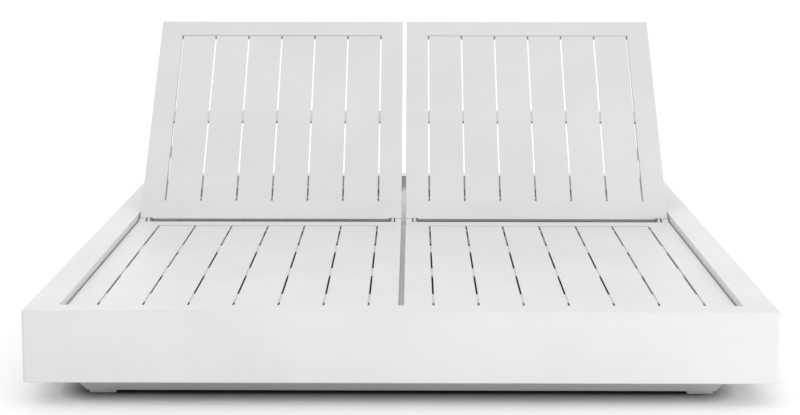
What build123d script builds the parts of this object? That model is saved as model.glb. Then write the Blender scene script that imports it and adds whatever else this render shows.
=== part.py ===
from build123d import *
from math import atan2, cos, radians, sin, tan
import os

# Double chaise lounger in powder-coated aluminium, in millimetres, +Z up.
# The foot end faces -Y, and the origin is on the floor under the middle of the platform.

# Platform outline
overall_width = 1480.0
overall_length = 2060.0

# Apron, the deep mitred box around the decks
apron_width = 63.5
apron_height = 143.5
apron_wall = 2.0
apron_corner_radius = 6.0
apron_edge_radius = 2.5
apron_bottom_chamfer = 1.5
apron_inner_edge_radius = 1.5

# Plinth, the recessed skirt that leans inwards down to the floor
plinth_drop = 40.0
plinth_inset = 108.0
plinth_wall = 2.5
plinth_flange = 64.0
plinth_lip = 10.0

# Foot pads
foot_size = 54.0
foot_height = 6.5
foot_inset = 4.0
foot_corner_chamfer = 3.0
foot_edge_chamfer = 1.0

# Deck panels, the same section for seat and backrest
deck_drop = 15.0
panel_thickness = 15.0
side_gap = 4.0
centre_gap = 11.0
front_gap = 4.0
stile_width = 58.0
rail_width = 62.0
top_rail_width = 56.0
frame_wall = 2.0
panel_corner_radius = 3.0
panel_edge_chamfer = 0.8
window_edge_chamfer = 0.4
drain_slot_length = 12.0
drain_slot_width = 4.0

# Slats, set a step below the frame's top, and the flat bars under them, within the frame's thickness
slat_count = 6
slat_gap = 4.0
slat_step = 1.0
slat_thickness = 2.0
slat_edge_chamfer = 0.4
crossbar_height = 8.0
crossbar_wall = 1.5
crossbar_edge_chamfer = 0.5
seat_crossbar_width = 92.0
seat_crossbar_shares = (0.337, 0.5995, 0.862)
seat_stiffener_width = 13.0
seat_stiffener_share = 0.098
back_crossbar_width = 39.0
back_crossbar_share = 0.503

# Hinge line between seat and backrest
hinge_place_share = 0.60874
seat_to_hinge = 27.5
back_to_hinge = 7.7
rear_gap = 5.3
rest_tilt = 40.0

# Hinge knuckles on the seat, tabs on the backrest, and their pins
knuckle_width = 16.0
knuckle_radius = 11.0
knuckle_clearance = 0.5
tab_gap = 3.5
tab_thickness = 6.0
tab_radius = 9.0
tab_neck_height = 12.0
nut_space = 6.5
notch_end_wall = 8.0
pin_radius = 4.0
pin_end_stand = 1.5
running_clearance = 0.05

# Ledges, pads and beams under the decks
pad_thickness = 3.0
seating_clearance = 0.3
pad_length = 45.0
pad_width = 14.0
pad_end_margin = 60.0
ledge_width = 22.0
ledge_drop = 16.0
ledge_wall = 3.0
beam_width = 44.0
beam_height = 50.0
beam_wall = 3.0
beam_edge_chamfer = 1.5
cross_member_width = 40.0
cross_member_height = 25.0
cross_member_wall = 2.5
cross_member_edge_chamfer = 1.5
seat_cross_member_shares = (0.22, 0.74)
rack_cross_member_shares = (0.1, 0.82)
base_clearance = 2.0
gusset_leg = 48.0
gusset_thickness = 4.0
gusset_nose = 12.0
gusset_clearance = 4.0

# Stay, the swinging bar that holds the backrest up
stay_pivot_drop = 22.0
stay_foot_drop = 22.2
stay_rear_clearance = 1.5
stay_turn_ratio = 0.94
stay_arm_inset = 40.0
stay_arm_thickness = 6.0
stay_arm_radius = 9.0
stay_bar_radius = 7.0
bracket_wall = 3.0
bracket_length = 34.0
bracket_nose_radius = 9.0
bracket_side_clearance = 0.5
bracket_ledge_clearance = 1.5

# Racks, the notched plates that the stay's foot bar drops into
rack_thickness = 5.0
rack_to_arm = 8.0
rack_clearance = 0.8
rack_end_margin = 26.0
rack_corner_chamfer = 6.0
notch_depth = 5.0
notch_ramp_run = 14.0
notch_floor_run = 3.0
notch_bar_clearance = 0.5
notch_step_angle = 9.0
notches_below_rest = 2
notches_above_rest = 3

# Cutting
overrun = 5.0
mitre_stretch_share = 1.25
tolerance = 0.01

# Heights and places that follow
rail_top = foot_height + plinth_drop + apron_height
deck_top = rail_top - deck_drop
deck_underside = deck_top - panel_thickness
ledge_top = deck_underside - pad_thickness
plinth_bottom = foot_height
apron_bottom = rail_top - apron_height
inner_width = overall_width - 2 * apron_width
inner_length = overall_length - 2 * apron_width
front_face_y = -overall_length / 2
inner_front_y = -inner_length / 2
inner_rear_y = inner_length / 2
axis_y = front_face_y + hinge_place_share * overall_length
axis_z = deck_top - panel_thickness / 2
panel_width = (inner_width - 2 * side_gap - centre_gap) / 2
panel_centre_x = (centre_gap + panel_width) / 2
window_width = panel_width - 2 * stile_width
slat_width = (window_width - (slat_count + 1) * slat_gap) / slat_count
seat_length = axis_y - seat_to_hinge - inner_front_y - front_gap
back_length = inner_rear_y - rear_gap - back_to_hinge - axis_y
cross_member_top = ledge_top - beam_height
cross_member_bottom = cross_member_top - cross_member_height
plinth_top = cross_member_bottom - base_clearance - plinth_lip
plinth_lean = atan2(plinth_inset - apron_width, plinth_top - plinth_bottom)
notch_width = knuckle_width + tab_gap + tab_thickness + nut_space

# The stay's proportions: its foot lies flat near the rear wall when the backrest is flat,
# and runs level at the racks as the backrest rises.
rest_angle = radians(rest_tilt)
rest_fall = stay_turn_ratio * rest_angle
flat_foot_y = inner_rear_y - axis_y - ledge_width - stay_arm_radius - stay_rear_clearance
rest_foot_rise = (stay_foot_drop - stay_pivot_drop * cos(rest_angle)) / sin(rest_fall)
stay_pivot_reach = (flat_foot_y - rest_foot_rise) / (1 + sin(rest_angle) / sin(rest_fall))
stay_length = flat_foot_y - stay_pivot_reach

# The bracket's foot ends short of the ledge beside it when the backrest is flat.
ledge_to_arm = side_gap + stay_arm_inset - ledge_width - stay_arm_thickness / 2
bracket_foot_width = ledge_to_arm - bracket_side_clearance - bracket_ledge_clearance

os.makedirs("parts", exist_ok=True)


def save(shape, node):
    export_step(shape, "parts/" + node + ".step")


def block(x_low, x_high, y_low, y_high, z_low, z_high):
    centre = Pos((x_low + x_high) / 2, (y_low + y_high) / 2, (z_low + z_high) / 2)
    return centre * Box(x_high - x_low, y_high - y_low, z_high - z_low)


def prism(points, z_low, z_high):
    outline = Polyline(*points, close=True)
    return Pos(0, 0, z_low) * extrude(make_face(outline), z_high - z_low)


def along_x(profile, x_low, x_high):
    # A profile drawn with its x along +Y and its y along +Z.
    return extrude(Plane(origin=(x_low, 0, 0), x_dir=(0, 1, 0), z_dir=(1, 0, 0)) * profile, x_high - x_low)


def along_y(profile, y_low, y_high):
    # A profile drawn with its x along +X and its y along +Z.
    turned = Plane(origin=(0, y_high, 0), x_dir=(1, 0, 0), z_dir=(0, -1, 0)) * profile
    return extrude(turned, y_high - y_low)


def rod_x(radius, x_low, x_high, y=0, z=0):
    return along_x(Pos(y, z) * Circle(radius), x_low, x_high)


def tube_profile(width, height, wall, edge_chamfer):
    outline = chamfer(Rectangle(width, height).vertices(), edge_chamfer)
    return outline - Rectangle(width - 2 * wall, height - 2 * wall)


def inner_rims(shape, width, length, height):
    # The level edges at the given height that lie on or inside a width by length rectangle.
    found = []
    for edge in shape.edges():
        place = edge.center()
        across = abs(place.X) < width / 2 + tolerance
        along = abs(place.Y) < length / 2 + tolerance
        if across and along and abs(place.Z - height) < tolerance:
            found.append(edge)
    return found


def mitre_end(half_window, window_end, side_width, end_width, z_low, z_high):
    # Cuts out the end member, whose ends run from the inner to the outer corners.
    out_x = half_window + side_width * mitre_stretch_share
    out_y = window_end + end_width * mitre_stretch_share
    points = [(-half_window, window_end), (half_window, window_end), (out_x, out_y), (-out_x, out_y)]
    return prism(points, z_low, z_high)


def mitre_side(half_window, window_start, window_end, side_width, start_width, end_width, z_low, z_high):
    # Cuts out the +X side member. A start width of zero leaves that end square.
    out_x = half_window + side_width * mitre_stretch_share
    out_start = window_start - start_width * mitre_stretch_share
    out_end = window_end + end_width * mitre_stretch_share
    points = [(half_window, window_start), (half_window, window_end), (out_x, out_end), (out_x, out_start)]
    return prism(points, z_low, z_high)


# Apron
def apron_ring():
    outline = RectangleRounded(overall_width, overall_length, apron_corner_radius)
    ring = Pos(0, 0, apron_bottom) * extrude(outline, apron_height)
    ring = fillet(ring.edges().group_by(Axis.Z)[-1], apron_edge_radius)
    ring = chamfer(ring.edges().group_by(Axis.Z)[0], apron_bottom_chamfer)
    ring = ring - block(-inner_width / 2, inner_width / 2, inner_front_y, inner_rear_y,
                        apron_bottom - overrun, rail_top + overrun)
    ring = fillet(inner_rims(ring, inner_width, inner_length, rail_top), apron_inner_edge_radius)
    hollow = block(-overall_width / 2 + apron_wall, overall_width / 2 - apron_wall,
                   -overall_length / 2 + apron_wall, overall_length / 2 - apron_wall,
                   apron_bottom + apron_wall, rail_top - apron_wall)
    hollow = hollow - block(-inner_width / 2 - apron_wall, inner_width / 2 + apron_wall,
                            inner_front_y - apron_wall, inner_rear_y + apron_wall,
                            apron_bottom, rail_top)
    return ring - hollow


def apron_pieces():
    ring = apron_ring()
    z_low = apron_bottom - overrun
    z_high = rail_top + overrun
    rear_cut = mitre_end(inner_width / 2, inner_rear_y, apron_width, apron_width, z_low, z_high)
    right_cut = mitre_side(inner_width / 2, inner_front_y, inner_rear_y, apron_width,
                           apron_width, apron_width, z_low, z_high)
    rear = ring & rear_cut
    right = ring & right_cut
    return {
        "apron_rear_rail": rear,
        "apron_front_rail": mirror(rear, about=Plane.XZ),
        "apron_right_rail": right,
        "apron_left_rail": mirror(right, about=Plane.YZ),
    }


def corner_gussets():
    z_low = cross_member_top + gusset_clearance
    corner_x = inner_width / 2
    corner_y = inner_rear_y
    points = [
        (corner_x, corner_y),
        (corner_x - gusset_leg, corner_y),
        (corner_x - gusset_leg, corner_y - gusset_nose),
        (corner_x - gusset_nose, corner_y - gusset_leg),
        (corner_x, corner_y - gusset_leg),
    ]
    one = prism(points, z_low, z_low + gusset_thickness)
    pair = [one, mirror(one, about=Plane.YZ)]
    return Compound(children=pair + [mirror(each, about=Plane.XZ) for each in pair])


# Plinth and feet
def plinth_frustum(inset, z_low, z_high):
    # The inset is measured at the plinth's bottom, and the walls lean out above it.
    faces = []
    for z in (z_low, z_high):
        reach = inset - (z - plinth_bottom) * tan(plinth_lean)
        outline = Rectangle(overall_width - 2 * reach, overall_length - 2 * reach)
        faces.append(Pos(0, 0, z) * outline)
    return loft(faces)


def plinth_pieces():
    # Bent sheet: a lip up the apron's inner wall, a leaning wall and a flange along the floor.
    top = plinth_top + plinth_lip
    sheet = plinth_wall / cos(plinth_lean)
    skirt = plinth_frustum(plinth_inset, plinth_bottom, plinth_top)
    skirt = skirt - plinth_frustum(plinth_inset + sheet, plinth_bottom + plinth_wall, top + overrun)
    lip_x = inner_width / 2
    lip = block(-lip_x, lip_x, inner_front_y, inner_rear_y, plinth_top, top)
    lip_x = lip_x - plinth_wall
    lip = lip - block(-lip_x, lip_x, inner_front_y + plinth_wall, inner_rear_y - plinth_wall, plinth_top, top)
    skirt = skirt + lip
    window_x = overall_width / 2 - plinth_inset - plinth_flange
    window_y = overall_length / 2 - plinth_inset - plinth_flange
    skirt = skirt - block(-window_x, window_x, -window_y, window_y, plinth_bottom - overrun, top)
    z_low = plinth_bottom - overrun
    cut_width = plinth_flange + plinth_inset
    rear_cut = mitre_end(window_x, window_y, cut_width, cut_width, z_low, top + overrun)
    right_cut = mitre_side(window_x, -window_y, window_y, cut_width, cut_width, cut_width,
                           z_low, top + overrun)
    rear = skirt & rear_cut
    right = skirt & right_cut
    return {
        "plinth_rear_panel": rear,
        "plinth_front_panel": mirror(rear, about=Plane.XZ),
        "plinth_right_panel": right,
        "plinth_left_panel": mirror(right, about=Plane.YZ),
    }


def foot_pads():
    x = overall_width / 2 - plinth_inset - foot_inset - foot_size / 2
    y = overall_length / 2 - plinth_inset - foot_inset - foot_size / 2
    outline = chamfer(Rectangle(foot_size, foot_size).vertices(), foot_corner_chamfer)
    pad = extrude(outline, foot_height)
    pad = chamfer(pad.edges().group_by(Axis.Z)[0], foot_edge_chamfer)
    return Compound(children=[Pos(sx * x, sy * y, 0) * pad for sx in (-1, 1) for sy in (-1, 1)])


# Ledges, pads, beams
def ledge_profile():
    # A corner profile with its heel at the origin: one leg along +x, the other down.
    leg = Pos(ledge_width / 2, -ledge_wall / 2) * Rectangle(ledge_width, ledge_wall)
    drop = Pos(ledge_wall / 2, -ledge_drop / 2) * Rectangle(ledge_wall, ledge_drop)
    return leg + drop


def ledges():
    profile = Pos(-inner_width / 2, ledge_top) * ledge_profile()
    left = along_y(profile, inner_front_y, inner_rear_y)
    profile = Pos(inner_front_y, ledge_top) * ledge_profile()
    side_reach = inner_width / 2 - ledge_width
    beam_half = beam_width / 2
    half = along_x(profile, beam_half, side_reach)
    front = Compound(children=[half, mirror(half, about=Plane.YZ)])
    return {
        "ledge_left": left,
        "ledge_right": mirror(left, about=Plane.YZ),
        "ledge_front": front,
        "ledge_rear": mirror(front, about=Plane.XZ),
    }


def centre_beam():
    profile = tube_profile(beam_width, beam_height, beam_wall, beam_edge_chamfer)
    return along_y(Pos(0, ledge_top - beam_height / 2) * profile, inner_front_y, inner_rear_y)


def cross_member_places():
    # One pair under the seat, and one pair under the racks.
    rack_low, rack_high = rack_ends()
    places = [inner_front_y + share * seat_length for share in seat_cross_member_shares]
    return places + [rack_low + share * (rack_high - rack_low) for share in rack_cross_member_shares]


def cross_members():
    profile = tube_profile(cross_member_width, cross_member_height, cross_member_wall,
                           cross_member_edge_chamfer)
    bars = []
    for y in cross_member_places():
        placed = Pos(y, cross_member_top - cross_member_height / 2) * profile
        bars.append(along_x(placed, -inner_width / 2, inner_width / 2))
    return Compound(children=bars)


def deck_pads():
    # Seat pads touch the seat. Backrest pads stop just short of the lowered backrest.
    seat_y = [inner_front_y + front_gap + pad_end_margin, axis_y - seat_to_hinge - pad_end_margin]
    seat_y.insert(1, sum(seat_y) / 2)
    back_y = [axis_y + back_to_hinge + pad_end_margin, inner_rear_y - pad_end_margin]
    outer_x = inner_width / 2 - ledge_width + pad_width / 2
    inner_x = beam_width / 2 - pad_width / 2
    pads = []
    for x in (-outer_x, -inner_x, inner_x, outer_x):
        for y in seat_y + back_y:
            top = deck_underside if y in seat_y else deck_underside - seating_clearance
            pads.append(block(x - pad_width / 2, x + pad_width / 2, y - pad_length / 2,
                              y + pad_length / 2, ledge_top, top))
    return Compound(children=pads)


# Deck panels, drawn with the hinge edge on y = 0, the panel along +Y and its top at z = 0
def edges_along_x(shape, y):
    # The top and bottom edges that run along X at the given y.
    found = []
    for edge in shape.edges().filter_by(Axis.X):
        place = edge.center()
        level = min(abs(place.Z), abs(place.Z + panel_thickness)) < tolerance
        if level and abs(place.Y - y) < tolerance:
            found.append(edge)
    return found


def edges_along_y(shape, x):
    # The top and bottom edges that run along Y at the given x.
    found = []
    for edge in shape.edges().filter_by(Axis.Y):
        place = edge.center()
        level = min(abs(place.Z), abs(place.Z + panel_thickness)) < tolerance
        if level and abs(place.X - x) < tolerance:
            found.append(edge)
    return found


def panel_frame(length, end_width):
    outline = RectangleRounded(panel_width, length, panel_corner_radius)
    frame = Pos(0, length / 2, -panel_thickness) * extrude(outline, panel_thickness)
    rims = frame.edges().group_by(Axis.Z)
    frame = chamfer(rims[0] + rims[-1], panel_edge_chamfer)
    frame = frame - block(-window_width / 2, window_width / 2, rail_width, length - end_width,
                          -panel_thickness - overrun, overrun)
    frame = chamfer(edges_along_x(frame, rail_width), window_edge_chamfer)
    low = -panel_thickness + frame_wall
    high = -frame_wall
    hollow = block(-panel_width / 2 + frame_wall, panel_width / 2 - frame_wall,
                   rail_width, length - frame_wall, low, high)
    hollow = hollow - block(-window_width / 2 - frame_wall, window_width / 2 + frame_wall,
                            0, length - end_width + frame_wall, -panel_thickness, 0)
    end_x = panel_width / 2 - notch_width - notch_end_wall
    rail_hollow = block(-end_x, end_x, frame_wall, rail_width - frame_wall, low, high)
    drain_x = end_x - drain_slot_length
    drain = Box(drain_slot_length, drain_slot_width, panel_thickness)
    drains = [Pos(side * drain_x, rail_width / 2, -panel_thickness) * drain for side in (-1, 1)]
    return frame - hollow - rail_hollow - drains


def panel_members(length, end_width):
    frame = panel_frame(length, end_width)
    z_low = -panel_thickness - overrun
    half = window_width / 2
    far = length - end_width
    hinge_rail = frame & block(-panel_width, panel_width, -overrun, rail_width, z_low, overrun)
    end_rail = frame & mitre_end(half, far, stile_width, end_width, z_low, overrun)
    right = frame & mitre_side(half, rail_width, far, stile_width, 0, end_width, z_low, overrun)
    end_rail = chamfer(edges_along_x(end_rail, far), window_edge_chamfer)
    right = chamfer(edges_along_y(right, half), window_edge_chamfer)
    return hinge_rail, end_rail, right, mirror(right, about=Plane.YZ)


def panel_slats(length, end_width):
    # Solid flat bars that end against the rails.
    profile = chamfer(Rectangle(slat_width, slat_thickness).vertices(), slat_edge_chamfer)
    slat = along_y(Pos(0, -slat_step - slat_thickness / 2) * profile, rail_width, length - end_width)
    pitch = slat_width + slat_gap
    first = -(slat_count - 1) / 2 * pitch
    return Compound(children=[Pos(first + i * pitch, 0, 0) * slat for i in range(slat_count)])


def panel_crossbar(y, width):
    # A flat box bar against the slats' undersides, from stile to stile.
    profile = tube_profile(width, crossbar_height, crossbar_wall, crossbar_edge_chamfer)
    placed = Pos(y, -slat_step - slat_thickness - crossbar_height / 2) * profile
    return along_x(placed, -window_width / 2, window_width / 2)


# Hinge pieces, drawn about the hinge axis at the origin, for the corner at the panel's -X edge
def hinge_knuckle():
    seat_end = Pos(-seat_to_hinge + tolerance, 0) * Rectangle(2 * tolerance, panel_thickness)
    outline = make_hull(Circle(knuckle_radius).edges() + seat_end.edges())
    knuckle = along_x(outline, 0, knuckle_width)
    foot = axis_z - ledge_top
    rest = block(0, knuckle_width, -seat_to_hinge, 0, -foot, 0)
    knuckle = knuckle + rest
    knuckle = knuckle - block(-overrun, knuckle_width + overrun, -2 * seat_to_hinge, 2 * seat_to_hinge,
                              -2 * foot, -foot)
    return knuckle - rod_x(pin_radius + running_clearance, -overrun, knuckle_width + overrun)


def hinge_pin():
    return rod_x(pin_radius, 0, knuckle_width + tab_gap + tab_thickness + pin_end_stand)


def hinge_tab():
    x_low = knuckle_width + tab_gap
    x_high = x_low + tab_thickness
    reach = knuckle_radius + knuckle_clearance
    neck = Pos(reach / 2, 0) * Rectangle(reach, tab_neck_height)
    tab = along_x(Circle(tab_radius) + neck, x_low, x_high)
    return tab - rod_x(pin_radius + running_clearance, x_low - overrun, x_high + overrun)


def hinge_notch():
    reach = knuckle_radius + knuckle_clearance
    round_cut = rod_x(reach, -overrun, knuckle_width + tab_gap)
    square_cut = block(knuckle_width + tab_gap / 2, notch_width, -reach, reach, -reach, reach)
    return round_cut + square_cut


def both_edges(piece):
    # The piece at the panel's -X edge and its mirror at the +X edge.
    left = Pos(-panel_width / 2, 0, 0) * piece
    return [left, mirror(left, about=Plane.YZ)]


# Stay and racks, drawn in the plane through the hinge axis with the backrest at an angle
def stay_pivot(tilt):
    turn = radians(tilt)
    y = stay_pivot_reach * cos(turn) + stay_pivot_drop * sin(turn)
    z = stay_pivot_reach * sin(turn) - stay_pivot_drop * cos(turn)
    return y, z


def stay_foot(tilt):
    y, z = stay_pivot(tilt)
    fall = radians(stay_turn_ratio * tilt)
    return y + stay_length * cos(fall), z - stay_length * sin(fall)


def stay_arm():
    # One flat arm at rest, centred on x = 0, round about its pivot and about the foot bar.
    y, z = stay_pivot(rest_tilt)
    foot_y, foot_z = stay_foot(rest_tilt)
    half = stay_arm_thickness / 2
    ends = [Pos(y, z) * Circle(stay_arm_radius), Pos(foot_y, foot_z) * Circle(stay_arm_radius)]
    arm = along_x(make_hull(ends[0].edges() + ends[1].edges()), -half, half)
    return arm - rod_x(pin_radius + running_clearance, -overrun, overrun, y, z)


def stay_bar():
    foot_y, foot_z = stay_foot(rest_tilt)
    reach = panel_width / 2 - stay_arm_inset - stay_arm_thickness / 2
    return rod_x(stay_bar_radius, -reach, reach, foot_y, foot_z)


def stay_bracket():
    # An angle under the stile in the panel's own frame, for the arm centred on x = 0 at the +X edge.
    y = stay_pivot_reach - back_to_hinge
    z = -panel_thickness / 2 - stay_pivot_drop
    ear_x = stay_arm_thickness / 2 + bracket_side_clearance
    root = Pos(y, -panel_thickness - bracket_wall / 2) * Rectangle(bracket_length, bracket_wall)
    nose = Pos(y, z) * Circle(bracket_nose_radius)
    ear = along_x(make_hull(root.edges() + nose.edges()), ear_x, ear_x + bracket_wall)
    foot = block(ear_x, ear_x + bracket_foot_width, y - bracket_length / 2, y + bracket_length / 2,
                 -panel_thickness - bracket_wall, -panel_thickness)
    return ear + foot - rod_x(pin_radius + running_clearance, 0, ear_x + bracket_foot_width, y, z)


def stay_pin():
    y = stay_pivot_reach - back_to_hinge
    z = -panel_thickness / 2 - stay_pivot_drop
    inner_end = -stay_arm_thickness / 2 - pin_end_stand
    outer_end = stay_arm_thickness / 2 + bracket_side_clearance + bracket_wall + pin_end_stand
    return rod_x(pin_radius, inner_end, outer_end, y, z)


def notch_places():
    # Where the foot bar stands for each backrest angle, from the upright end to the flat end.
    steps = range(notches_above_rest, -notches_below_rest - 1, -1)
    return [axis_y + stay_foot(rest_tilt + step * notch_step_angle)[0] for step in steps]


def rack_ends():
    places = notch_places()
    return places[0] - rack_end_margin, places[-1] + rack_end_margin


def rack():
    # Each notch has a ramp towards the hinge and a steep wall on the side that the stay pushes against.
    top = axis_z - stay_foot_drop - stay_bar_radius - rack_clearance
    low, high = rack_ends()
    wall_run = stay_bar_radius + notch_bar_clearance
    points = [(low, cross_member_top), (low, top - rack_corner_chamfer), (low + rack_corner_chamfer, top)]
    for y in notch_places():
        points.append((y - notch_ramp_run, top))
        points.append((y - notch_floor_run, top - notch_depth))
        points.append((y + wall_run, top - notch_depth))
        points.append((y + wall_run, top))
    points = points + [(high - rack_corner_chamfer, top), (high, top - rack_corner_chamfer)]
    points.append((high, cross_member_top))
    outline = make_face(Polyline(*points, close=True))
    return along_x(outline, -rack_thickness / 2, rack_thickness / 2)


def rack_pair(side_x):
    arm_face = panel_width / 2 - stay_arm_inset - stay_arm_thickness / 2
    offset = arm_face - rack_to_arm - rack_thickness / 2
    one = rack()
    return Compound(children=[Pos(side_x - offset, 0, 0) * one, Pos(side_x + offset, 0, 0) * one])


def both_arms(piece):
    # The piece at the panel's +X arm and its mirror at the -X arm.
    right = Pos(panel_width / 2 - stay_arm_inset, 0, 0) * piece
    return Compound(children=[right, mirror(right, about=Plane.YZ)])


# Whole base
for name, piece in apron_pieces().items():
    save(piece, name)
for name, piece in plinth_pieces().items():
    save(piece, name)
for name, piece in ledges().items():
    save(piece, name)
save(corner_gussets(), "corner_gussets")
save(foot_pads(), "foot_pads")
save(centre_beam(), "centre_beam")
save(cross_members(), "cross_members")
save(deck_pads(), "deck_pads")

# Seat panels, drawn once and set down on both sides with the hinge edge towards the head
seat_hinge_rail, seat_front_rail, seat_right_stile, seat_left_stile = panel_members(seat_length, rail_width)
seat_bars = [panel_crossbar(share * seat_length, seat_crossbar_width) for share in seat_crossbar_shares]
seat_bars.append(panel_crossbar(seat_stiffener_share * seat_length, seat_stiffener_width))
seat_slats = panel_slats(seat_length, rail_width)
back_hinge_rail, back_top_rail, back_right_stile, back_left_stile = panel_members(back_length, top_rail_width)
back_hinge_rail = back_hinge_rail - [Pos(0, -back_to_hinge, -panel_thickness / 2) * cut
                                     for cut in both_edges(hinge_notch())]
back_bar = panel_crossbar(back_crossbar_share * back_length, back_crossbar_width)
back_slats = panel_slats(back_length, top_rail_width)

for side, side_x in (("left", -panel_centre_x), ("right", panel_centre_x)):
    seat_place = Pos(side_x, axis_y - seat_to_hinge, deck_top) * Rot(0, 0, 180)
    hinge_place = Pos(side_x, axis_y, axis_z)
    raised = hinge_place * Rot(rest_tilt, 0, 0)
    back_place = raised * Pos(0, back_to_hinge, panel_thickness / 2)
    outer, inner = ("left", "right") if side == "left" else ("right", "left")
    seat_stiles = {"left": seat_right_stile, "right": seat_left_stile}
    back_stiles = {"left": back_left_stile, "right": back_right_stile}

    save(seat_place * seat_stiles[outer], "seat_" + side + "_outer_stile")
    save(seat_place * seat_stiles[inner], "seat_" + side + "_inner_stile")
    save(seat_place * seat_front_rail, "seat_" + side + "_front_rail")
    save(seat_place * seat_hinge_rail, "seat_" + side + "_hinge_rail")
    save(seat_place * seat_slats, "seat_" + side + "_slats")
    save(seat_place * Compound(children=seat_bars), "seat_" + side + "_crossbars")

    save(back_place * back_stiles[outer], "back_" + side + "_outer_stile")
    save(back_place * back_stiles[inner], "back_" + side + "_inner_stile")
    save(back_place * back_top_rail, "back_" + side + "_top_rail")
    save(back_place * back_hinge_rail, "back_" + side + "_hinge_rail")
    save(back_place * back_slats, "back_" + side + "_slats")
    save(back_place * back_bar, "back_" + side + "_crossbar")

    save(hinge_place * Compound(children=both_edges(hinge_knuckle())), "hinge_knuckles_" + side)
    save(hinge_place * Compound(children=both_edges(hinge_pin())), "hinge_pins_" + side)
    save(raised * Compound(children=both_edges(hinge_tab())), "hinge_tabs_" + side)

    save(back_place * both_arms(stay_bracket()), "stay_brackets_" + side)
    save(back_place * both_arms(stay_pin()), "stay_pins_" + side)
    save(hinge_place * both_arms(stay_arm()), "stay_arms_" + side)
    save(hinge_place * stay_bar(), "stay_foot_bar_" + side)
    save(rack_pair(side_x), "rack_" + side)
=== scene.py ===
from math import atan2, cos, pi, radians, sin

import bmesh
import bpy
from mathutils import Matrix, Vector


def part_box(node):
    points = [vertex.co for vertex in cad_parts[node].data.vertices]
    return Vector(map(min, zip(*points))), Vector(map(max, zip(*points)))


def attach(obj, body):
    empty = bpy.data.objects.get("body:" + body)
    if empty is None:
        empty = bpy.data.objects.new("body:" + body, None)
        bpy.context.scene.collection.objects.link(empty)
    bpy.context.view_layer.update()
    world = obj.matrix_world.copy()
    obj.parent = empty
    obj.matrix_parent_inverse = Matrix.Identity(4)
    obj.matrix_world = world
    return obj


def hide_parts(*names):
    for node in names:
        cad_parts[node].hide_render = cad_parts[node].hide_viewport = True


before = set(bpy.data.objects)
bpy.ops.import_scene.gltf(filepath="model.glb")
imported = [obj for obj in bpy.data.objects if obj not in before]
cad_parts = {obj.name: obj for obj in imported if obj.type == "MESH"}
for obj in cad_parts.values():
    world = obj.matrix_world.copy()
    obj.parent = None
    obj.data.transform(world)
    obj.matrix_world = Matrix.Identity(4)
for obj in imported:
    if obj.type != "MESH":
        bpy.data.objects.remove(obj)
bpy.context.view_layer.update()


# Apron: four deep box extrusions round both decks, mitred, welded and ground flush at the corners.
# Like the whole frame they are aluminium under an off-white satin powder coat, baked on, which
# flows into a fine orange peel and pulls a little thinner and glossier over the edges.
millimetre = 0.001
film_light = (0.69, 0.69, 0.68)
film_deep = (0.665, 0.665, 0.656)
film_thin = (0.625, 0.625, 0.615)
# The dark colour blended into crevices as painted shade.
painted_shade_colour = (0.34, 0.34, 0.335, 1.0)
film_detail, noise_middle = 1.0, 0.5
peel_cells, peel_share = 420.0, 0.6
grain_cells, grain_share = 1600.0, 0.4
sway_cells, sway_detail = 4.0, 3.0
sway_range = (0.35, 0.65)
grain_gloss, rim_gloss = 0.12, 0.08
rim_thinness = 0.55
film_relief, film_relief_share = 0.07 * millimetre, 0.7
edge_reach, edge_samples = 1.4 * millimetre, 4
edge_bend = (0.02, 0.25)
mitre_line, mitre_depth = 0.4 * millimetre, 1.5


class Shade:
    """A number that varies over a finish. Sums with it add the nodes that work them out."""

    def __init__(self, finish, socket):
        self.finish = finish
        self.socket = socket

    def sum_of(self, operation, *parts):
        return self.finish.node("ShaderNodeMath", {"operation": operation}, dict(enumerate(parts)))

    def __add__(self, other):
        return self.sum_of("ADD", self, other)

    def __radd__(self, other):
        return self.sum_of("ADD", other, self)

    def __sub__(self, other):
        return self.sum_of("SUBTRACT", self, other)

    def __rsub__(self, other):
        return self.sum_of("SUBTRACT", other, self)

    def __mul__(self, other):
        return self.sum_of("MULTIPLY", self, other)

    def __rmul__(self, other):
        return self.sum_of("MULTIPLY", other, self)

    def __abs__(self):
        return self.sum_of("ABSOLUTE", self)

    def eased(self, low, high):
        """0 up to low, 1 from high, and smooth between them."""
        return self.finish.node("ShaderNodeMapRange", {"interpolation_type": "SMOOTHSTEP"},
                                {"Value": self, "From Min": low, "From Max": high})


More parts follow.
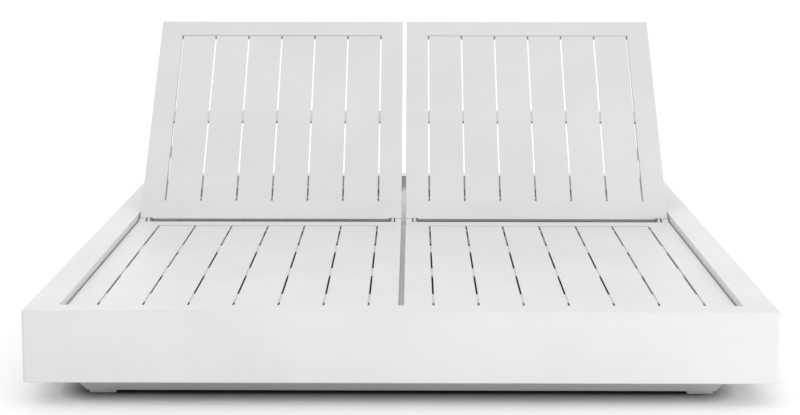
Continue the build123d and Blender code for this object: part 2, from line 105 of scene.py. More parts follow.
class Finish:
    """One material, whose nodes are added one by one and feed its shader."""

    def __init__(self, name):
        self.material = bpy.data.materials.new(name)
        self.material.use_nodes = True
        self.tree = self.material.node_tree
        self.tree.nodes.clear()
        self.shader = self.tree.nodes.new("ShaderNodeBsdfPrincipled")
        end = self.tree.nodes.new("ShaderNodeOutputMaterial")
        self.tree.links.new(self.shader.outputs["BSDF"], end.inputs["Surface"])

    def feed(self, socket, value):
        if isinstance(value, Shade):
            self.tree.links.new(value.socket, socket)
        else:
            socket.default_value = value

    def node(self, kind, settings=None, sockets=None, out=0):
        made = self.tree.nodes.new(kind)
        for name, value in (settings or {}).items():
            setattr(made, name, value)
        for place, value in (sockets or {}).items():
            self.feed(made.inputs[place], value)
        return Shade(self, made.outputs[out])

    def surface(self, **sockets):
        for name, value in sockets.items():
            self.feed(self.shader.inputs[name.replace("_", " ")], value)

    def place(self, shift=0.0):
        """The place on the piece itself, in metres."""
        seen = self.node("ShaderNodeTexCoord", out="Object")
        sockets = {"Vector": seen, "Location": (shift, shift, shift)}
        return self.node("ShaderNodeMapping", sockets=sockets)

    def along(self, place, axis):
        return self.node("ShaderNodeSeparateXYZ", sockets={"Vector": place}, out=axis)

    def cloud(self, place, cells, detail=2.0):
        sockets = {"Vector": place, "Scale": cells, "Detail": detail}
        return self.node("ShaderNodeTexNoise", sockets=sockets)

    def blend(self, share, low, high):
        return self.node("ShaderNodeMix", {"data_type": "RGBA"}, {0: share, 6: low, 7: high}, out=2)

    def root(self, value):
        return self.node("ShaderNodeMath", {"operation": "SQRT"}, {0: value})

    def relief(self, height, depth, strength=1.0, under=None):
        sockets = {"Height": height, "Distance": depth, "Strength": strength}
        if under:
            sockets["Normal"] = under
        return self.node("ShaderNodeBump", sockets=sockets)

    def edge(self, reach):
        """The rounded normal within reach of an edge, and a mask that is 1 on the edge itself."""
        rounded = self.node("ShaderNodeBevel", {"samples": edge_samples}, {"Radius": reach})
        flat = self.node("ShaderNodeNewGeometry", out="Normal")
        alike = self.node("ShaderNodeVectorMath", {"operation": "DOT_PRODUCT"},
                          {0: rounded, 1: flat}, out="Value")
        return rounded, (1 - alike).eased(*edge_bend)


def powder_coat(name, gloss=0.44, batch=0.0, joint=None, painted_dimming=1.0, crevice=None):
    """Satin powder coat. A batch shifts its texture, a dimming under 1 darkens it all as painted
    shade, a joint sinks a line in it, and a crevice mask blends in a dark colour as painted shade."""
    light, deep, thin = [tuple(painted_dimming * part for part in film) + (1.0,)
                         for film in (film_light, film_deep, film_thin)]
    coat = Finish(name)
    place = coat.place(batch)
    peel = coat.cloud(place, peel_cells, film_detail)
    grain = coat.cloud(place, grain_cells, film_detail)
    sway = coat.cloud(place, sway_cells, sway_detail).eased(*sway_range)
    rounded, rim = coat.edge(edge_reach)
    colour = coat.blend(rim * rim_thinness, coat.blend(sway, deep, light), thin)
    # Where a crevice mask is given, the colour is blended to the dark one: painted shade.
    if crevice:
        colour = coat.blend(crevice(coat), colour, painted_shade_colour)
    height = peel * peel_share + grain * grain_share
    if joint:
        height = height - joint(coat) * mitre_depth
    coat.surface(
        Base_Color=colour,
        Roughness=gloss + (grain - noise_middle) * grain_gloss - rim * rim_gloss,
        Normal=coat.relief(height, film_relief, film_relief_share, rounded),
    )
    return coat


def mitre_joint(half_x, half_y):
    """A hairline where two rails meet at a corner whose mitre runs at 45 degrees."""
    def joint(coat):
        place = coat.place()
        across = abs(coat.along(place, "X")) - half_x
        length = abs(coat.along(place, "Y")) - half_y
        return 1 - abs(across - length).eased(0.0, mitre_line)
    return joint


def coated(finish, *nodes):
    for node in nodes:
        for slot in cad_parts[node].material_slots:
            slot.material = finish.material


apron_low, apron_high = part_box("apron_front_rail")
apron_half_x = apron_high.x
apron_half_y = -apron_low.y
coated(
    powder_coat("apron_powder_coat", joint=mitre_joint(apron_half_x, apron_half_y)),
    "apron_front_rail", "apron_rear_rail", "apron_left_rail", "apron_right_rail",
)


# Corner gussets: flat plates cut from sheet, one in each inner corner of the apron. They are welded
# along both walls from above before the frame is coated, so the beads wear the same powder.
bead_radius = 2.4 * millimetre
bead_pitch = 2.3 * millimetre
bead_setback = 3.0 * millimetre
ripple_length = 0.75
smooth_angle = radians(32.0)
gusset_leg = 48.0 * millimetre


def fitted(name, shape, finish, body):
    """The piece made from its shape. It takes its finish and rides on its body."""
    mesh = bpy.data.meshes.new(name)
    shape.to_mesh(mesh)
    shape.free()
    mesh.shade_smooth()
    mesh.set_sharp_from_angle(angle=smooth_angle)
    mesh.materials.append(finish.material)
    piece = bpy.data.objects.new(name, mesh)
    bpy.context.scene.collection.objects.link(piece)
    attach(piece, body)
    return piece


def repeated(pattern, places):
    """The pattern set down at each place, as one shape."""
    single = bpy.data.meshes.new("pattern")
    pattern.to_mesh(single)
    pattern.free()
    whole = bmesh.new()
    for place in places:
        done = len(whole.verts)
        whole.from_mesh(single)
        whole.verts.ensure_lookup_table()
        bmesh.ops.transform(whole, matrix=place, verts=whole.verts[done:])
    bpy.data.meshes.remove(single)
    return whole


def weld_ripple():
    """One ripple of a weld bead: a ball, squashed along the bead."""
    ripple = bmesh.new()
    bmesh.ops.create_uvsphere(ripple, u_segments=8, v_segments=5, radius=bead_radius)
    bmesh.ops.scale(ripple, vec=(1.0, 1.0, ripple_length), verts=ripple.verts)
    return ripple


def bead_places(*runs):
    """Where the ripples of a bead lie along each run, given by its two ends."""
    places = []
    for start, end in runs:
        run = Vector(end) - Vector(start)
        count = max(2, round(run.length / bead_pitch))
        lean = run.to_track_quat("Z", "Y").to_matrix().to_4x4()
        for step in range(count + 1):
            places.append(Matrix.Translation(Vector(start) + run * (step / count)) @ lean)
    return places


gusset_coat = powder_coat("gusset_powder_coat", gloss=0.5, batch=0.7)
coated(gusset_coat, "corner_gussets")
gusset_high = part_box("corner_gussets")[1]
corner_runs = []
for side_x in (-1, 1):
    for side_y in (-1, 1):
        corner_x, corner_y, top = side_x * gusset_high.x, side_y * gusset_high.y, gusset_high.z
        near_x, near_y = corner_x - side_x * bead_setback, corner_y - side_y * bead_setback
        far_x, far_y = corner_x - side_x * gusset_leg, corner_y - side_y * gusset_leg
        corner_runs.append(((near_x, corner_y, top), (far_x, corner_y, top)))
        corner_runs.append(((corner_x, near_y, top), (corner_x, far_y, top)))
fitted("gusset_welds", repeated(weld_ripple(), bead_places(*corner_runs)), gusset_coat,
       "base")


# Plinth: four sheet panels bent to a lip, a leaning wall and a floor flange, mitred at the hips.
# They are powder-coated like the apron and held to its inner walls by blind rivets through the lip.
lip_rivet_drop = 5.0 * millimetre
lip_rivet_pitch = 250.0 * millimetre
long_lip_rivets, cross_lip_rivets = range(-3, 4), range(-2, 3)
plinth_sheet = 2.5 * millimetre
same_point = 0.01 * millimetre


def turned(outline, steps, closed=False):
    """A round shape about Z from its outline of radius and height, in millimetres."""
    shape = bmesh.new()
    points = [shape.verts.new((radius * millimetre, 0.0, height * millimetre))
              for radius, height in outline]
    ring = points[1:] + points[:1] if closed else points[1:]
    edges = [shape.edges.new(pair) for pair in zip(points, ring)]
    bmesh.ops.spin(shape, geom=points + edges, cent=(0.0, 0.0, 0.0), axis=(0.0, 0.0, 1.0),
                   angle=2 * pi, steps=steps, use_merge=True)
    bmesh.ops.remove_doubles(shape, verts=shape.verts, dist=same_point)
    bmesh.ops.recalc_face_normals(shape, faces=shape.faces)
    return shape


def blind_rivet():
    """A low dome with the stump of its mandrel sunk in the middle."""
    dome = [(0.0, -0.4), (4.0, -0.4), (4.0, 0.2), (3.2, 0.9), (1.7, 1.3)]
    stump = [(1.2, 1.1), (1.0, 0.7), (0.0, 0.7)]
    return turned(dome + stump, steps=12)


def facing(direction):
    """The turn that points a pattern's own Z in a direction."""
    return Vector(direction).to_track_quat("Z", "Y").to_matrix().to_4x4()


plinth_coat = powder_coat("plinth_powder_coat", gloss=0.46, batch=1.3)
coated(plinth_coat, "plinth_front_panel", "plinth_rear_panel",
       "plinth_left_panel", "plinth_right_panel")
lip_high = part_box("plinth_right_panel")[1]
lip_x = lip_high.x - plinth_sheet
lip_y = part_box("plinth_rear_panel")[1].y - plinth_sheet
lip_z = lip_high.z - lip_rivet_drop
lip_rivets = []
for side in (-1, 1):
    for step in long_lip_rivets:
        place = Matrix.Translation((side * lip_x, step * lip_rivet_pitch, lip_z))
        lip_rivets.append(place @ facing((-side, 0, 0)))
    for step in cross_lip_rivets:
        place = Matrix.Translation((step * lip_rivet_pitch, side * lip_y, lip_z))
        lip_rivets.append(place @ facing((0, -side, 0)))
fitted("plinth_rivets", repeated(blind_rivet(), lip_rivets), plinth_coat, "base")


# Foot pads: square blocks of light grey plastic under the corners of the plinth's flange. They are
# moulded with soft edges and a sunk underside, and a socket screw in the middle holds each one.
foot_size = 54.0 * millimetre
foot_half = foot_size / 2
foot_edge = 1.0 * millimetre
foot_bevel = 0.3 * foot_edge
foot_corner = 5.0 * millimetre
foot_corner_steps = 6
foot_rim = 7.0 * millimetre
foot_sink = 1.6 * millimetre
plastic_light = (0.57, 0.57, 0.56, 1.0)
plastic_dark = (0.50, 0.50, 0.49, 1.0)
tool_cells, flow_cells = 1300.0, 30.0
tool_gloss, worn_gloss = 0.2, 0.1
tool_relief_share = 0.8
plastic_edge = 0.8 * millimetre
steel_light = (0.58, 0.58, 0.58, 1.0)
steel_dark = (0.46, 0.46, 0.46, 1.0)
mark_cells, haze_cells = 2600.0, 160.0
mark_gloss, haze_gloss = 0.2, 0.1
mark_relief, mark_relief_share = 0.02 * millimetre, 0.5
steel_edge = 0.4 * millimetre
cloud_detail, cloud_range = 3.0, (0.3, 0.7)


def moulded(name, light, dark, gloss, grain_depth):
    """Moulded plastic: a fine even grain from the tool, and slow clouds in the colour."""
    plastic = Finish(name)
    place = plastic.place()
    grain = plastic.cloud(place, tool_cells)
    flow = plastic.cloud(place, flow_cells, cloud_detail)
    rounded, rim = plastic.edge(plastic_edge)
    plastic.surface(
        Base_Color=plastic.blend(flow.eased(*cloud_range), dark, light),
        Roughness=gloss + (grain - noise_middle) * tool_gloss - rim * worn_gloss,
        Normal=plastic.relief(grain, grain_depth, tool_relief_share, rounded),
    )
    return plastic


def stainless(name, gloss=0.3):
    """Machined stainless steel with fine tool marks."""
    steel = Finish(name)
    place = steel.place()
    marks = steel.cloud(place, mark_cells, cloud_detail)
    haze = steel.cloud(place, haze_cells, cloud_detail)
    rounded, rim = steel.edge(steel_edge)
    steel.surface(
        Base_Color=steel.blend(haze.eased(*cloud_range), steel_dark, steel_light),
        Metallic=1.0,
        Roughness=(gloss + (marks - noise_middle) * mark_gloss
                   + (haze - noise_middle) * haze_gloss),
        Normal=steel.relief(marks, mark_relief, mark_relief_share, rounded),
    )
    return steel


def hexagonal(points, flats):
    """Moves a ring of points about Z out or in to a hexagon, given across its flats."""
    for point in points:
        turn = atan2(point.co.y, point.co.x) % (pi / 3) - pi / 6
        point.co.xy = point.co.xy.normalized() * flats * millimetre / 2 / cos(turn)


def socket_head(radius, height, socket):
    """A low round screw head with a hexagon socket, standing on its base at the origin."""
    sink = height * 0.35
    rim = [(0.0, 0.0), (radius, 0.0), (radius, height * 0.45),
           (radius * 0.86, height * 0.85), (radius * 0.62, height)]
    recess = [(socket * 0.56, height), (socket * 0.5, sink), (0.0, sink)]
    head = turned(rim + recess, steps=24)
    inner, outer = socket * 0.4 * millimetre, socket * 0.6 * millimetre
    hexagonal([point for point in head.verts if inner < point.co.xy.length < outer], socket)
    return head


def square_ring(shape, half, corner, height):
    """A closed row of points round a square with round corners, at a height."""
    ring = []
    for step in range(4 * foot_corner_steps):
        quarter = step // foot_corner_steps
        angle = (quarter + (step % foot_corner_steps) / (foot_corner_steps - 1)) * pi / 2
        middle = Matrix.Rotation(quarter * pi / 2, 2) @ Vector((half - corner, half - corner))
        x, y = middle.x + corner * cos(angle), middle.y + corner * sin(angle)
        ring.append(shape.verts.new((x, y, height)))
    return ring


foot_low, foot_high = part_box("foot_pads")
pad_shape = bmesh.new()
inner_half = foot_half - foot_rim
rings = [square_ring(pad_shape, *ring) for ring in (
    (foot_half - foot_edge, foot_corner - foot_edge, foot_high.z),
    (foot_half, foot_corner, foot_high.z - foot_edge),
    (foot_half, foot_corner, foot_edge),
    (foot_half - foot_bevel, foot_corner - foot_bevel, foot_bevel),
    (foot_half - foot_edge, foot_corner - foot_edge, 0.0),
    (inner_half + foot_edge, foot_corner - foot_edge, 0.0),
    (inner_half + foot_bevel, foot_corner - 2 * foot_edge + foot_bevel, foot_bevel),
    (inner_half, foot_corner - 2 * foot_edge, foot_sink),
)]
for ring, onward in zip(rings, rings[1:]):
    for step in range(len(ring)):
        pad_shape.faces.new((ring[step - 1], ring[step], onward[step], onward[step - 1]))
pad_shape.faces.new(rings[0])
pad_shape.faces.new(rings[-1])
bmesh.ops.recalc_face_normals(pad_shape, faces=pad_shape.faces)
foot_places = []
for x in (foot_low.x + foot_half, foot_high.x - foot_half):
    for y in (foot_low.y + foot_half, foot_high.y - foot_half):
        foot_places.append(Matrix.Translation((x, y, 0.0)))
foot_plastic = moulded("foot_grey_plastic", plastic_light, plastic_dark,
                       gloss=0.5, grain_depth=0.05 * millimetre)
feet = fitted("moulded_foot_pads", repeated(pad_shape, foot_places), foot_plastic,
              "base")
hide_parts("foot_pads")
screw_steel = stainless("screw_stainless")
down = facing((0, 0, -1))
foot_screws = [place @ Matrix.Translation((0.0, 0.0, foot_sink)) @ down for place in foot_places]
foot_screw_head = socket_head(radius=5.0, height=1.3, socket=4.0)
fitted("foot_screws", repeated(foot_screw_head, foot_screws), screw_steel,
       "base")


# Ledges: extruded angles along the apron's inner walls, which the decks lie on. Blind rivets
# through the upright leg hold them, and they are coated with the frame.
ledge_wall = 3.0 * millimetre
ledge_rivet_drop = 9.5 * millimetre
ledge_rivet_pitch = 240.0 * millimetre
long_ledge_rivets = (-3.5, -2.5, -1.5, -0.5, 0.5, 1.5, 2.5, 3.5)
cross_ledge_rivets = (-2.4, -1.4, -0.4, 0.4, 1.4, 2.4)
ledge_coat = powder_coat("ledge_powder_coat", gloss=0.48, batch=2.1)
coated(ledge_coat, "ledge_front", "ledge_rear", "ledge_left", "ledge_right")
ledge_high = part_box("ledge_right")[1]
long_ledge_x = ledge_high.x - ledge_wall
cross_ledge_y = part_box("ledge_rear")[1].y - ledge_wall
ledge_z = ledge_high.z - ledge_rivet_drop
ledge_rivets = []
for side in (-1, 1):
    for step in long_ledge_rivets:
        place = Matrix.Translation((side * long_ledge_x, step * ledge_rivet_pitch, ledge_z))
        ledge_rivets.append(place @ facing((-side, 0, 0)))
    for step in cross_ledge_rivets:
        place = Matrix.Translation((step * ledge_rivet_pitch, side * cross_ledge_y, ledge_z))
        ledge_rivets.append(place @ facing((0, -side, 0)))
fitted("ledge_rivets", repeated(blind_rivet(), ledge_rivets), ledge_coat,
       "base")


# Centre beam: a box extrusion from the front to the rear rail, between the two decks, which rest on
# its edges. It is welded to both rails all round.
beam_coat = powder_coat("beam_powder_coat", gloss=0.46, batch=3.3)
coated(beam_coat, "centre_beam")
beam_low, beam_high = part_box("centre_beam")
beam_runs = []
for y in (beam_low.y, beam_high.y):
    for x in (beam_low.x, beam_high.x):
        beam_runs.append(((x, y, beam_low.z), (x, y, beam_high.z - bead_radius)))
    beam_runs.append(((beam_low.x, y, beam_low.z), (beam_high.x, y, beam_low.z)))
fitted("beam_welds", repeated(weld_ripple(), bead_places(*beam_runs)), beam_coat,
       "base")


# Cross members: four flat box extrusions from side to side, two under the seats and two under the
# racks. Their ends are welded to the apron's walls, and the beam above is welded down on them.
cross_width = 40.0 * millimetre
cross_coat = powder_coat("cross_member_powder_coat", gloss=0.48, batch=4.1)
coated(cross_coat, "cross_members")
cross_low, cross_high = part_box("cross_members")


def spans(node, apart=100.0 * millimetre):
    """Where a node's bars start and end from front to rear, read from the corners of its mesh."""
    corners = sorted(point.co.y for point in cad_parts[node].data.vertices)
    found = [[corners[0], corners[0]]]
    for corner in corners:
        if corner - found[-1][1] > apart:
            found.append([corner, corner])
        found[-1][1] = corner
    return found


cross_middles = [(start + end) / 2 for start, end in spans("cross_members")]
cross_runs = []
for y in cross_middles:
    front, rear = y - cross_width / 2, y + cross_width / 2
    for x in (cross_low.x, cross_high.x):
        cross_runs.append(((x, front, cross_low.z), (x, rear, cross_low.z)))
        cross_runs.append(((x, front, cross_low.z), (x, front, cross_high.z)))
        cross_runs.append(((x, rear, cross_low.z), (x, rear, cross_high.z)))
        cross_runs.append(((x, front, cross_high.z), (x, rear, cross_high.z)))
    for x in (beam_low.x, beam_high.x):
        cross_runs.append(((x, front, cross_high.z), (x, rear, cross_high.z)))
fitted("cross_member_welds", repeated(weld_ripple(), bead_places(*cross_runs)), cross_coat,
       "base")


# Deck pads: black rubber strips stuck on the ledges and the beam where the decks come down, ribbed
# across so that water drains. They keep metal off metal.
rubber_light = (0.035, 0.035, 0.035, 1.0)
rubber_dark = (0.022, 0.022, 0.022, 1.0)
rubber_gloss, pore_gloss = 0.62, 0.3
bloom_cells, bloom_detail, bloom_range = 90.0, 4.0, (0.35, 0.7)
pore_cells, pore_share = 2200.0, 0.2
rib_scale, rib_share = 60.0, 0.8
rubber_relief, rubber_relief_share = 0.6 * millimetre, 0.8
pad_rubber = Finish("pad_black_rubber")
pad_place = pad_rubber.place()
bloom = pad_rubber.cloud(pad_place, bloom_cells, bloom_detail)
pores = pad_rubber.cloud(pad_place, pore_cells)
ribs = pad_rubber.node("ShaderNodeTexWave",
                       {"wave_type": "BANDS", "bands_direction": "Y", "wave_profile": "SIN"},
                       {"Vector": pad_place, "Scale": rib_scale, "Distortion": 0.0})
pad_rubber.surface(
    Base_Color=pad_rubber.blend(bloom.eased(*bloom_range), rubber_dark, rubber_light),
    Roughness=rubber_gloss + (pores - noise_middle) * pore_gloss,
    Normal=pad_rubber.relief(ribs * rib_share + pores * pore_share,
                             rubber_relief, rubber_relief_share),
)
coated(pad_rubber, "deck_pads")


# Seat frames: on each side two stiles and a front rail of flat box extrusion, mitred, welded and
# ground flush, and a hinge rail across the panel's full width. The foot of the step from that
# rail down to the slats' ends is painted dark, as painted shade in that crevice.
painted_shade_width = 0.15 * millimetre
level_fade = 0.2 * millimetre
painted_shade_fade = 1.5


def reach(node, direction):
    """How far a node's corners reach along a direction, from the nearest to the farthest."""
    places = [direction.dot(corner.co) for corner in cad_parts[node].data.vertices]
    return min(places), max(places)


def painted_step_shade(direction, end, width, level):
    """Painted shade in the crevice within a width of an end along a deck, and above a level over
    it.
    """
    def crevice(coat):
        place = coat.place()
        far, up = coat.along(place, "Y"), coat.along(place, "Z")
        along = far * direction.y + up * direction.z
        height = up * direction.y - far * direction.z
        near_end = 1 - abs(along - end).eased(width, width * painted_shade_fade)
        return near_end * height.eased(level - level_fade, level)
    return crevice


def over(direction):
    """The direction straight out of a deck that runs along this one."""
    return Vector((0.0, -direction.z, direction.y))


rearward = Vector((0.0, 1.0, 0.0))
seat_slat_top = reach("seat_left_slats", over(rearward))[1]
hinge_rail_wall = reach("seat_left_hinge_rail", rearward)[0]
# Painted shade: the hinge rail's wall over the slats' ends is blended dark.
hinge_rail_painted_shade = painted_step_shade(rearward, hinge_rail_wall, painted_shade_width, seat_slat_top)
seat_frame_coat = powder_coat("seat_frame_powder_coat", batch=5.3)
seat_hinge_rail_coat = powder_coat("seat_hinge_rail_powder_coat", batch=5.3,
                                   crevice=hinge_rail_painted_shade)
for side in ("left", "right"):
    for member in ("outer_stile", "inner_stile", "front_rail"):
        coated(seat_frame_coat, "seat_" + side + "_" + member)
    coated(seat_hinge_rail_coat, "seat_" + side + "_hinge_rail")


# Seat slats: six flat bars to a side, set a little below the frame and let in between its rails,
# with 4 mm of light between them. They are coated with the frame.
seat_slat_coat = powder_coat("seat_slat_powder_coat", gloss=0.42, batch=6.1)
for side in ("left", "right"):
    coated(seat_slat_coat, "seat_" + side + "_slats")


# Seat crossbars: three wide flat box extrusions and a narrow one by the hinge, under each seat's
# slats and let in between the stiles. Blind rivets from below hold every slat at each bar.
slat_count = 6
slat_pitch = 91.167 * millimetre
slat_rivet_spread = 24.0 * millimetre
rivet_edge_stand = 6.5 * millimetre
rivet_row_spread = 26.0 * millimetre
crossbar_coat = powder_coat("crossbar_powder_coat", gloss=0.46, batch=7.7)


def crossing_rivets(half_width):
    """Two rivets to a crossing, set cornerwise on a wide bar. Places from the bar's middle."""
    row = min(rivet_row_spread, max(0.0, half_width - 2 * rivet_edge_stand))
    return [((slat - (slat_count - 1) / 2) * slat_pitch + hand * slat_rivet_spread, hand * row)
            for slat in range(slat_count) for hand in (-1, 1)]


for side in ("left", "right"):
    node = "seat_" + side + "_crossbars"
    coated(crossbar_coat, node)
    low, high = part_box(node)
    middle_x = (low.x + high.x) / 2
    rivets = [Matrix.Translation((middle_x + x, (start + end) / 2 + y, low.z)) @ down
              for start, end in spans(node) for x, y in crossing_rivets((end - start) / 2)]
    fitted("seat_" + side + "_slat_rivets", repeated(blind_rivet(), rivets), crossbar_coat,
           "base")


# Hinges: two to a side. Knuckles stand on the seat's hinge rail, tabs on the backrest turn beside
# them on a stainless bolt, with a black nylon washer between and a cap nut on the end.
nylon_light = (0.045, 0.045, 0.047, 1.0)
nylon_dark = (0.028, 0.028, 0.03, 1.0)
washer_start = 16.15 * millimetre
nut_start = 25.8 * millimetre
nut_flats = 13.0
nut_rim = 6.35 * millimetre
hinge_coat = powder_coat("hinge_powder_coat", gloss=0.46, batch=8.3)
pin_steel = stainless("hinge_pin_stainless", gloss=0.26)
washer_nylon = moulded("washer_black_nylon", nylon_light, nylon_dark,
                       gloss=0.42, grain_depth=0.03 * millimetre)


def washer():
    """A flat ring with its outer edges taken off."""
    return turned([(4.05, 0.0), (8.1, 0.0), (8.5, 0.4), (8.5, 2.8), (8.1, 3.2), (4.05, 3.2)],
                  steps=32, closed=True)


def cap_nut(length):
    """A hexagon nut, closed by a dome over the bolt's end."""
    sides = [(0.0, 0.0), (6.2, 0.0), (6.5, 0.35), (6.5, length - 0.4), (6.2, length)]
    dome = [(4.6, length + 0.1), (4.3, length + 0.6), (3.2, length + 1.2), (0.0, length + 1.4)]
    nut = turned(sides + dome, steps=24)
    hexagonal([point for point in nut.verts if point.co.xy.length > nut_rim], nut_flats)
    return nut


inward, outward = facing((1, 0, 0)), facing((-1, 0, 0))


def hinge_places(side, distance, turn=inward):
    """The places on a side's hinge line at a distance in from the outer end of each pin."""
    low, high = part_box("hinge_pins_" + side)
    axis_y, axis_z = (low.y + high.y) / 2, (low.z + high.z) / 2
    near = Matrix.Translation((low.x + distance, axis_y, axis_z))
    far = Matrix.Translation((high.x - distance, axis_y, axis_z)) @ Matrix.Rotation(pi, 4, "Z")
    return [near @ turn, far @ turn]


for side in ("left", "right"):
    coated(hinge_coat, "hinge_knuckles_" + side, "hinge_tabs_" + side)
    coated(pin_steel, "hinge_pins_" + side)
    washers = repeated(washer(), hinge_places(side, washer_start))
    fitted("hinge_washers_" + side, washers, washer_nylon, "base")
    nuts = repeated(cap_nut(length=3.6), hinge_places(side, nut_start))
    fitted("hinge_nuts_" + side, nuts, pin_steel, "base")
    bolt_head = socket_head(radius=6.5, height=2.0, socket=4.0)
    heads = repeated(bolt_head, hinge_places(side, 0.0, outward))
    fitted("hinge_bolt_heads_" + side, heads, pin_steel, "base")


# Backrest frames: the same box extrusions as the seats, with a narrower top rail, whose wall over
# the slats' ends has the same painted shade, and a hinge rail notched out at both ends for the
# knuckles. Welds are ground flush and the frame is coated in one go.
# The backrest's coat is made 2% darker than the rest: painted shade for the lesser light on its
# tilt.
back_painted_dimming = 0.98
rest_tilt = radians(40.0)
up_the_back = Vector((0.0, cos(rest_tilt), sin(rest_tilt)))
back_slat_top = reach("back_left_slats", over(up_the_back))[1]
top_rail_wall = reach("back_left_top_rail", up_the_back)[0]
# Painted shade: the top rail's wall over the slats' ends is blended dark.
top_rail_painted_shade = painted_step_shade(up_the_back, top_rail_wall, painted_shade_width, back_slat_top)
back_frame_coat = powder_coat("back_frame_powder_coat", batch=9.1, painted_dimming=back_painted_dimming)
top_rail_coat = powder_coat("top_rail_powder_coat", batch=9.1, painted_dimming=back_painted_dimming,
                            crevice=top_rail_painted_shade)
for side in ("left", "right"):
    for member in ("outer_stile", "inner_stile", "hinge_rail"):
        coated(back_frame_coat, "back_" + side + "_" + member)
    coated(top_rail_coat, "back_" + side + "_top_rail")


# Backrest slats and crossbar: six flat bars in line with the seat's, and one flat box extrusion
# behind them at mid height, riveted from behind. A fine band at the slats' upper ends is painted
# dark, as painted shade.
back_to_hinge = 7.7 * millimetre
panel_thickness = 15.0 * millimetre
back_bar_width = 39.0 * millimetre
back_bar_height = 8.0 * millimetre
slat_end_shade_width = 0.5 * millimetre
slat_end = reach("back_left_slats", up_the_back)[1]
# Painted shade: the slats' upper ends are blended dark.
slat_end_painted_shade = painted_step_shade(up_the_back, slat_end, slat_end_shade_width, back_slat_top - level_fade)
back_slat_coat = powder_coat("back_slat_powder_coat", gloss=0.42, batch=10.3, painted_dimming=back_painted_dimming,
                             crevice=slat_end_painted_shade)
back_place = {}
for side in ("left", "right"):
    coated(back_slat_coat, "back_" + side + "_slats")
    coated(crossbar_coat, "back_" + side + "_crossbar")
    low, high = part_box("hinge_pins_" + side)
    back_place[side] = (Matrix.Translation((low + high) / 2) @ Matrix.Rotation(rest_tilt, 4, "X")
                        @ Matrix.Translation((0.0, back_to_hinge, panel_thickness / 2)))
    bar_low, bar_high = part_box("back_" + side + "_crossbar")
    bar_middle = back_place[side].inverted() @ ((bar_low + bar_high) / 2)
    bar_under = bar_middle.z - back_bar_height / 2
    rivets = [back_place[side] @ Matrix.Translation((x, bar_middle.y + y, bar_under)) @ down
              for x, y in crossing_rivets(back_bar_width / 2)]
    fitted("back_" + side + "_slat_rivets", repeated(blind_rivet(), rivets), crossbar_coat,
           "backrest_" + side)


# Stay brackets and pins: a bent angle under each stile, held by two socket screws, whose ear takes
# a stainless pin with a low head inside the stay's arm and a cap nut outside the ear.
bracket_wall = 3.0 * millimetre
bracket_screw_spread = 11.0 * millimetre
bracket_screw_from_arm = 13.0 * millimetre
arm_inset = 40.0 * millimetre
bracket_reach = 333.8 * millimetre
pin_head_from_arm = -3.5 * millimetre
pin_nut_from_arm = 6.5 * millimetre
bracket_coat = powder_coat("bracket_powder_coat", gloss=0.46, batch=11.1)
stay_pin_steel = stainless("stay_pin_stainless", gloss=0.28)
for side in ("left", "right"):
    body = "backrest_" + side
    coated(bracket_coat, "stay_brackets_" + side)
    coated(stay_pin_steel, "stay_pins_" + side)
    frame_low, frame_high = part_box("seat_" + side + "_hinge_rail")
    arm_x = (frame_high.x - frame_low.x) / 2 - arm_inset
    low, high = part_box("stay_pins_" + side)
    pin_middle = (low + high) / 2
    screws, heads, nuts = [], [], []
    for edge in (-1, 1):
        screw_x = edge * (arm_x + bracket_screw_from_arm)
        for shift in (-bracket_screw_spread, bracket_screw_spread):
            spot = (screw_x, bracket_reach + shift, -panel_thickness - bracket_wall)
            screws.append(back_place[side] @ Matrix.Translation(spot) @ down)
        arm_middle = Matrix.Translation(pin_middle + Vector((edge * arm_x, 0.0, 0.0)))
        head_place = arm_middle @ Matrix.Translation((edge * pin_head_from_arm, 0.0, 0.0))
        nut_place = arm_middle @ Matrix.Translation((edge * pin_nut_from_arm, 0.0, 0.0))
        heads.append(head_place @ facing((-edge, 0, 0)))
        nuts.append(nut_place @ facing((edge, 0, 0)))
    screw_head = socket_head(radius=4.4, height=2.0, socket=2.8)
    fitted("bracket_screws_" + side, repeated(screw_head, screws), screw_steel,
           body)
    pin_head = socket_head(radius=7.0, height=2.6, socket=4.0)
    fitted("stay_pin_heads_" + side, repeated(pin_head, heads), stay_pin_steel,
           body)
    fitted("stay_pin_nuts_" + side, repeated(cap_nut(length=3.9), nuts), stay_pin_steel,
           body)


# Stays: two flat arms to a side with round ends, welded to a round bar across their feet. The bar
# drops into the racks' notches and carries the backrest.
bar_radius = 7.0 * millimetre
ring_ripples, ring_ripple_size = 20, 0.8
stay_coat = powder_coat("stay_powder_coat", gloss=0.45, batch=12.7)
for side in ("left", "right"):
    coated(stay_coat, "stay_arms_" + side, "stay_foot_bar_" + side)
    low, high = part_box("stay_foot_bar_" + side)
    ripples = []
    for end_x in (low.x, high.x):
        centre = Matrix.Translation((end_x, (low.y + high.y) / 2, (low.z + high.z) / 2))
        for step in range(ring_ripples):
            turn = Matrix.Rotation(2 * pi * step / ring_ripples, 4, "X")
            ripples.append(centre @ turn @ Matrix.Translation((0.0, bar_radius, 0.0)))
    ripple = weld_ripple()
    bmesh.ops.scale(ripple, vec=[ring_ripple_size] * 3, verts=ripple.verts)
    fitted("foot_bar_welds_" + side, repeated(ripple, ripples), stay_coat,
           "stay_" + side)


